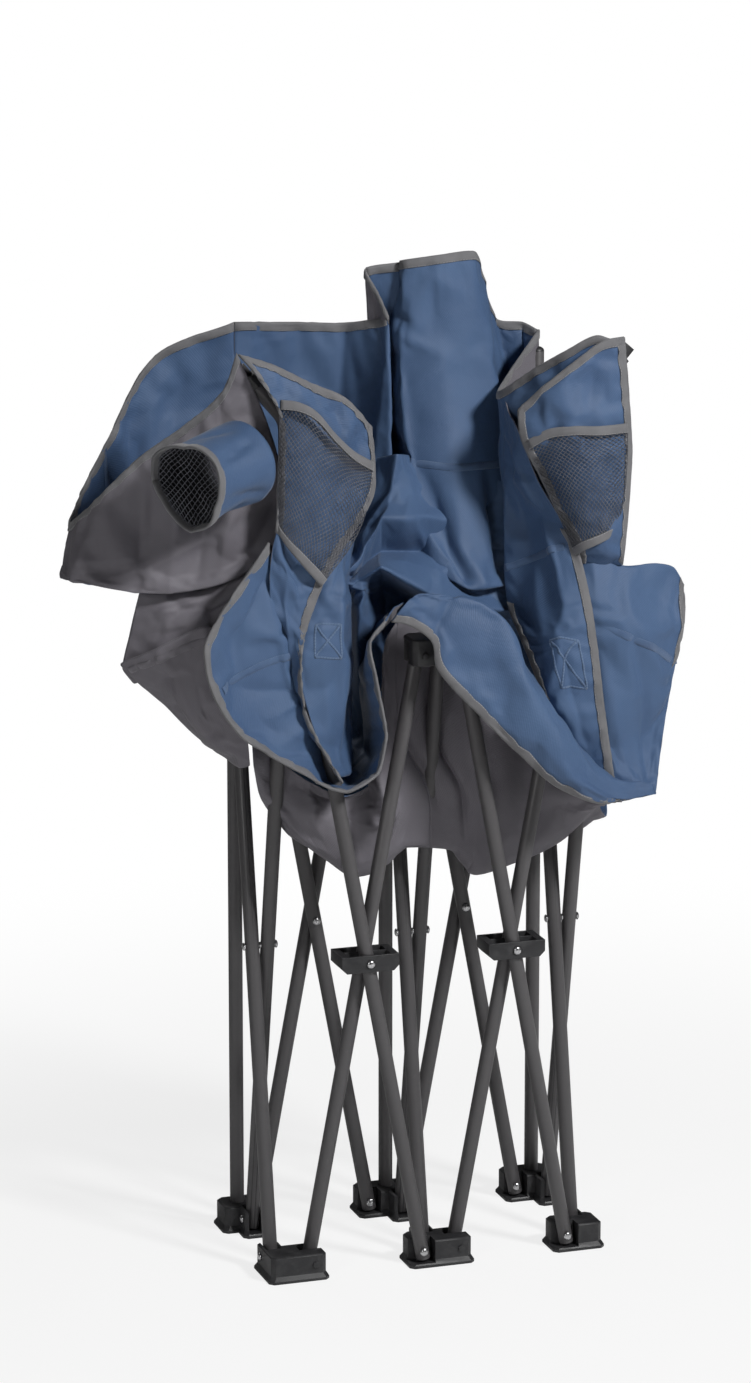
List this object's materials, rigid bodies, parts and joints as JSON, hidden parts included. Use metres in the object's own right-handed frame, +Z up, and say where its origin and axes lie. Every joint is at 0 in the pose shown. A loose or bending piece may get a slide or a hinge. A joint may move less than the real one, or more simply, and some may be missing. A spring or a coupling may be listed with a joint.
{
  "type": "folding camping loveseat",
  "caption": "Two-person folding camp seat on crossing steel tubes, stood up and nearly folded, with its cloth seat, back, arms, mesh pockets and cup holder gathered between the tubes",
  "frame": {"origin": "on the ground under the middle of the front centre foot", "axes": "X to the sitter's left as seen from the front, which is the viewer's right; Y from front to rear; Z up"},
  "size_m": [0.694, 0.3103, 1.1115],
  "materials": {
    "tube": "dark grey powder coat, satin",
    "plastic": "black moulded nylon",
    "rivet": "bright plated steel",
    "blue_cloth": "coated woven polyester, blue",
    "grey_cloth": "coated woven polyester, grey",
    "mesh_cloth": "open polyester mesh, dark"
  },
  "bodies": {
    "rear_centre_stand": {"rear_centre_foot": "plastic", "centre_post": "tube", "centre_post_cap": "plastic"},
    "centre_side_rear_foot_tube": {"centre_side_tube_rear_foot": "tube", "centre_side_cross_rivet": "rivet"},
    "centre_side_front_foot_tube": {"centre_side_tube_front_foot": "tube"},
    "front_centre_foot": {"front_centre_foot": "plastic"},
    "front_centre_bracket": {"front_centre_bracket": "plastic"},
    "rear_left_outward_tube": {"rear_left_tube_outward": "tube", "rear_left_cross_rivet": "rivet"},
    "rear_left_inward_tube": {"rear_left_tube_inward": "tube"},
    "rear_left_stand": {"rear_left_foot": "plastic", "left_post": "tube", "left_post_cap": "plastic"},
    "rear_left_slider": {"rear_left_slider": "plastic"},
    "rear_centre_slider": {"rear_centre_slider": "plastic"},
    "rear_right_outward_tube": {"rear_right_tube_outward": "tube", "rear_right_cross_rivet": "rivet"},
    "rear_right_inward_tube": {"rear_right_tube_inward": "tube"},
    "rear_right_stand": {"rear_right_foot": "plastic", "right_post": "tube", "right_post_cap": "plastic"},
    "rear_right_slider": {"rear_right_slider": "plastic"},
    "front_left_outward_tube": {"front_left_tube_outward": "tube"},
    "front_left_inward_tube": {"front_left_tube_inward": "tube"},
    "front_left_foot": {"front_left_foot": "plastic"},
    "front_left_arm": {"front_left_bracket": "plastic", "left_arm_post": "tube", "left_arm_clip": "rivet", "front_panel_left": "blue_cloth", "mesh_pocket_left": "mesh_cloth", "cup_holder": "blue_cloth"},
    "front_left_hub": {"front_left_hub": "plastic", "front_left_hub_rivet": "rivet"},
    "front_right_outward_tube": {"front_right_tube_outward": "tube"},
    "front_right_inward_tube": {"front_right_tube_inward": "tube"},
    "front_right_foot": {"front_right_foot": "plastic"},
    "front_right_arm": {"front_right_bracket": "plastic", "right_arm_post": "tube", "right_arm_clip": "rivet", "front_panel_right": "blue_cloth", "mesh_pocket_right": "mesh_cloth"},
    "front_right_hub": {"front_right_hub": "plastic", "front_right_hub_rivet": "rivet"},
    "left_side_rear_foot_tube": {"left_side_tube_rear_foot": "tube", "left_side_cross_rivet": "rivet"},
    "left_side_front_foot_tube": {"left_side_tube_front_foot": "tube"},
    "right_side_rear_foot_tube": {"right_side_tube_rear_foot": "tube", "right_side_cross_rivet": "rivet"},
    "right_side_front_foot_tube": {"right_side_tube_front_foot": "tube"},
    "back_cloth_left": {"back_cloth_left": "blue_cloth"},
    "back_cloth_right": {"back_cloth_right": "blue_cloth"},
    "arm_cloth_left": {"arm_cloth_left": "blue_cloth", "side_lining_left": "grey_cloth"},
    "arm_cloth_right": {"arm_cloth_right": "blue_cloth"},
    "seat_cloth_left": {"seat_cloth_left": "blue_cloth"},
    "seat_cloth_right": {"seat_cloth_right": "blue_cloth", "seat_flap_right": "blue_cloth"},
    "seat_middle": {"seat_fold_centre": "blue_cloth", "seat_underside": "grey_cloth"}
  },
  "joints": [
    {"name": "fold", "type": "hinge", "parent": "rear_centre_stand", "child": "centre_side_rear_foot_tube", "pos_m": [0.009, 0.15211, 0.018], "axis": [1, 0, 0], "range_deg": [-7, 39.5]},
    {"name": "centre_side_cross", "type": "hinge", "parent": "centre_side_rear_foot_tube", "child": "centre_side_front_foot_tube", "pos_m": [0, 0.08905, 0.35821], "axis": [1, 0, 0], "range_deg": [-79.5, 16.5]},
    {"name": "front_centre_foot_pin", "type": "hinge", "parent": "centre_side_front_foot_tube", "child": "front_centre_foot", "pos_m": [-0.009, 0.026, 0.018], "axis": [1, 0, 0], "range_deg": [-8.5, 40]},
    {"name": "front_centre_bracket_pin", "type": "hinge", "parent": "centre_side_rear_foot_tube", "child": "front_centre_bracket", "pos_m": [0.009, 0.026, 0.69841], "axis": [1, 0, 0], "range_deg": [-40, 8.5]},
    {"name": "rear_left_foot_pin_inner", "type": "hinge", "parent": "rear_centre_stand", "child": "rear_left_outward_tube", "pos_m": [-0.026, 0.16911, 0.018], "axis": [0, 1, 0], "range_deg": [-40, 8.5]},
    {"name": "rear_left_cross", "type": "hinge", "parent": "rear_left_outward_tube", "child": "rear_left_inward_tube", "pos_m": [-0.08905, 0.17811, 0.35821], "axis": [0, 1, 0], "range_deg": [-16.5, 79.5]},
    {"name": "rear_left_foot_pin_outer", "type": "hinge", "parent": "rear_left_inward_tube", "child": "rear_left_stand", "pos_m": [-0.15211, 0.18711, 0.018], "axis": [0, 1, 0], "range_deg": [-40, 8.5]},
    {"name": "rear_centre_slider_pin", "type": "hinge", "parent": "rear_left_inward_tube", "child": "rear_centre_slider", "pos_m": [-0.026, 0.18711, 0.69841], "axis": [0, 1, 0], "range_deg": [-40, 8.5]},
    {"name": "rear_left_slider_pin", "type": "hinge", "parent": "rear_left_outward_tube", "child": "rear_left_slider", "pos_m": [-0.15211, 0.16911, 0.69841], "axis": [0, 1, 0], "range_deg": [-8.5, 40]},
    {"name": "rear_right_foot_pin_inner", "type": "hinge", "parent": "rear_centre_stand", "child": "rear_right_outward_tube", "pos_m": [0.026, 0.18711, 0.018], "axis": [0, 1, 0], "range_deg": [-8.5, 40]},
    {"name": "rear_right_cross", "type": "hinge", "parent": "rear_right_outward_tube", "child": "rear_right_inward_tube", "pos_m": [0.08905, 0.17811, 0.35821], "axis": [0, 1, 0], "range_deg": [-79.5, 16.5]},
    {"name": "rear_right_foot_pin_outer", "type": "hinge", "parent": "rear_right_inward_tube", "child": "rear_right_stand", "pos_m": [0.15211, 0.16911, 0.018], "axis": [0, 1, 0], "range_deg": [-8.5, 40]},
    {"name": "rear_right_slider_pin", "type": "hinge", "parent": "rear_right_outward_tube", "child": "rear_right_slider", "pos_m": [0.15211, 0.18711, 0.69841], "axis": [0, 1, 0], "range_deg": [-40, 8.5]},
    {"name": "front_left_foot_pin_inner", "type": "hinge", "parent": "front_centre_foot", "child": "front_left_outward_tube", "pos_m": [-0.022, -0.009, 0.018], "axis": [0, 1, 0], "range_deg": [-40, 8.5]},
    {"name": "front_left_cross", "type": "hinge", "parent": "front_left_outward_tube", "child": "front_left_inward_tube", "pos_m": [-0.08505, 0, 0.35821], "axis": [0, 1, 0], "range_deg": [-16.5, 79.5]},
    {"name": "front_left_foot_pin_outer", "type": "hinge", "parent": "front_left_inward_tube", "child": "front_left_foot", "pos_m": [-0.14811, 0.009, 0.018], "axis": [0, 1, 0], "range_deg": [-40, 8.5]},
    {"name": "front_left_bracket_pin", "type": "hinge", "parent": "front_left_outward_tube", "child": "front_left_arm", "pos_m": [-0.14811, -0.009, 0.69841], "axis": [0, 1, 0], "range_deg": [-8.5, 40]},
    {"name": "front_left_hub_pin", "type": "hinge", "parent": "front_left_outward_tube", "child": "front_left_hub", "pos_m": [-0.08505, 0, 0.35821], "axis": [0, 1, 0], "range_deg": [-8.5, 40]},
    {"name": "front_right_foot_pin_inner", "type": "hinge", "parent": "front_centre_foot", "child": "front_right_outward_tube", "pos_m": [0.022, 0.009, 0.018], "axis": [0, 1, 0], "range_deg": [-8.5, 40]},
    {"name": "front_right_cross", "type": "hinge", "parent": "front_right_outward_tube", "child": "front_right_inward_tube", "pos_m": [0.08505, 0, 0.35821], "axis": [0, 1, 0], "range_deg": [-79.5, 16.5]},
    {"name": "front_right_foot_pin_outer", "type": "hinge", "parent": "front_right_inward_tube", "child": "front_right_foot", "pos_m": [0.14811, -0.009, 0.018], "axis": [0, 1, 0], "range_deg": [-8.5, 40]},
    {"name": "front_right_bracket_pin", "type": "hinge", "parent": "front_right_outward_tube", "child": "front_right_arm", "pos_m": [0.14811, 0.009, 0.69841], "axis": [0, 1, 0], "range_deg": [-40, 8.5]},
    {"name": "front_right_hub_pin", "type": "hinge", "parent": "front_right_outward_tube", "child": "front_right_hub", "pos_m": [0.08505, 0, 0.35821], "axis": [0, 1, 0], "range_deg": [-40, 8.5]},
    {"name": "left_side_rear_foot_pin", "type": "hinge", "parent": "rear_left_stand", "child": "left_side_rear_foot_tube", "pos_m": [-0.16911, 0.15211, 0.018], "axis": [1, 0, 0], "range_deg": [-8.5, 40]},
    {"name": "left_side_cross", "type": "hinge", "parent": "left_side_rear_foot_tube", "child": "left_side_front_foot_tube", "pos_m": [-0.17811, 0.08905, 0.35821], "axis": [1, 0, 0], "range_deg": [-79.5, 16.5]},
    {"name": "right_side_rear_foot_pin", "type": "hinge", "parent": "rear_right_stand", "child": "right_side_rear_foot_tube", "pos_m": [0.18711, 0.15211, 0.018], "axis": [1, 0, 0], "range_deg": [-8.5, 40]},
    {"name": "right_side_cross", "type": "hinge", "parent": "right_side_rear_foot_tube", "child": "right_side_front_foot_tube", "pos_m": [0.17811, 0.08905, 0.35821], "axis": [1, 0, 0], "range_deg": [-79.5, 16.5]},
    {"name": "back_cloth_left_spread", "type": "slide", "parent": "rear_centre_stand", "child": "back_cloth_left", "axis": [-1, 0, 0], "range_m": [-0.083, 0.405], "deforming": ["back_cloth_left"]},
    {"name": "back_cloth_right_spread", "type": "slide", "parent": "rear_centre_stand", "child": "back_cloth_right", "axis": [1, 0, 0], "range_m": [-0.083, 0.405], "deforming": ["back_cloth_right"]},
    {"name": "arm_cloth_left_spread", "type": "slide", "parent": "rear_left_stand", "child": "arm_cloth_left", "axis": [0, -0.8638, -0.5038], "range_m": [-0.096, 0.469], "deforming": ["arm_cloth_left", "side_lining_left"]},
    {"name": "arm_cloth_right_spread", "type": "slide", "parent": "rear_right_stand", "child": "arm_cloth_right", "axis": [0, -0.8638, -0.5038], "range_m": [-0.096, 0.469], "deforming": ["arm_cloth_right"]},
    {"name": "seat_cloth_left_spread", "type": "slide", "parent": "front_centre_bracket", "child": "seat_cloth_left", "axis": [-1, 0, 0], "range_m": [-0.083, 0.405], "deforming": ["seat_cloth_left"]},
    {"name": "seat_cloth_right_spread", "type": "slide", "parent": "front_centre_bracket", "child": "seat_cloth_right", "axis": [1, 0, 0], "range_m": [-0.083, 0.405], "deforming": ["seat_cloth_right", "seat_flap_right"]},
    {"name": "seat_middle_spread", "type": "slide", "parent": "front_centre_bracket", "child": "seat_middle", "axis": [0, 1, 0], "range_m": [-0.083, 0.405], "deforming": ["seat_fold_centre", "seat_underside", "front_panel_left", "front_panel_right", "mesh_pocket_left", "mesh_pocket_right"]}
  ],
  "couplings": [
    {"joint": "centre_side_cross", "follows": "fold", "ratio": -2},
    {"joint": "front_centre_foot_pin", "follows": "fold", "ratio": 1},
    {"joint": "front_centre_bracket_pin", "follows": "fold", "ratio": -1},
    {"joint": "rear_left_foot_pin_inner", "follows": "fold", "ratio": -1},
    {"joint": "rear_left_cross", "follows": "fold", "ratio": 2},
    {"joint": "rear_left_foot_pin_outer", "follows": "fold", "ratio": -1},
    {"joint": "rear_centre_slider_pin", "follows": "fold", "ratio": -1},
    {"joint": "rear_left_slider_pin", "follows": "fold", "ratio": 1},
    {"joint": "rear_right_foot_pin_inner", "follows": "fold", "ratio": 1},
    {"joint": "rear_right_cross", "follows": "fold", "ratio": -2},
    {"joint": "rear_right_foot_pin_outer", "follows": "fold", "ratio": 1},
    {"joint": "rear_right_slider_pin", "follows": "fold", "ratio": -1},
    {"joint": "front_left_foot_pin_inner", "follows": "fold", "ratio": -1},
    {"joint": "front_left_cross", "follows": "fold", "ratio": 2},
    {"joint": "front_left_foot_pin_outer", "follows": "fold", "ratio": -1},
    {"joint": "front_left_bracket_pin", "follows": "fold", "ratio": 1},
    {"joint": "front_left_hub_pin", "follows": "fold", "ratio": 1},
    {"joint": "front_right_foot_pin_inner", "follows": "fold", "ratio": 1},
    {"joint": "front_right_cross", "follows": "fold", "ratio": -2},
    {"joint": "front_right_foot_pin_outer", "follows": "fold", "ratio": 1},
    {"joint": "front_right_bracket_pin", "follows": "fold", "ratio": -1},
    {"joint": "front_right_hub_pin", "follows": "fold", "ratio": -1},
    {"joint": "left_side_rear_foot_pin", "follows": "fold", "ratio": 1},
    {"joint": "left_side_cross", "follows": "fold", "ratio": -2},
    {"joint": "right_side_rear_foot_pin", "follows": "fold", "ratio": 1},
    {"joint": "right_side_cross", "follows": "fold", "ratio": -2},
    {"joint": "back_cloth_left_spread", "follows": "fold", "m_per_rad": 0.586},
    {"joint": "back_cloth_right_spread", "follows": "fold", "m_per_rad": 0.586},
    {"joint": "arm_cloth_left_spread", "follows": "fold", "m_per_rad": 0.678},
    {"joint": "arm_cloth_right_spread", "follows": "fold", "m_per_rad": 0.678},
    {"joint": "seat_cloth_left_spread", "follows": "fold", "m_per_rad": 0.586},
    {"joint": "seat_cloth_right_spread", "follows": "fold", "m_per_rad": 0.586},
    {"joint": "seat_middle_spread", "follows": "fold", "m_per_rad": 0.586}
  ]
}
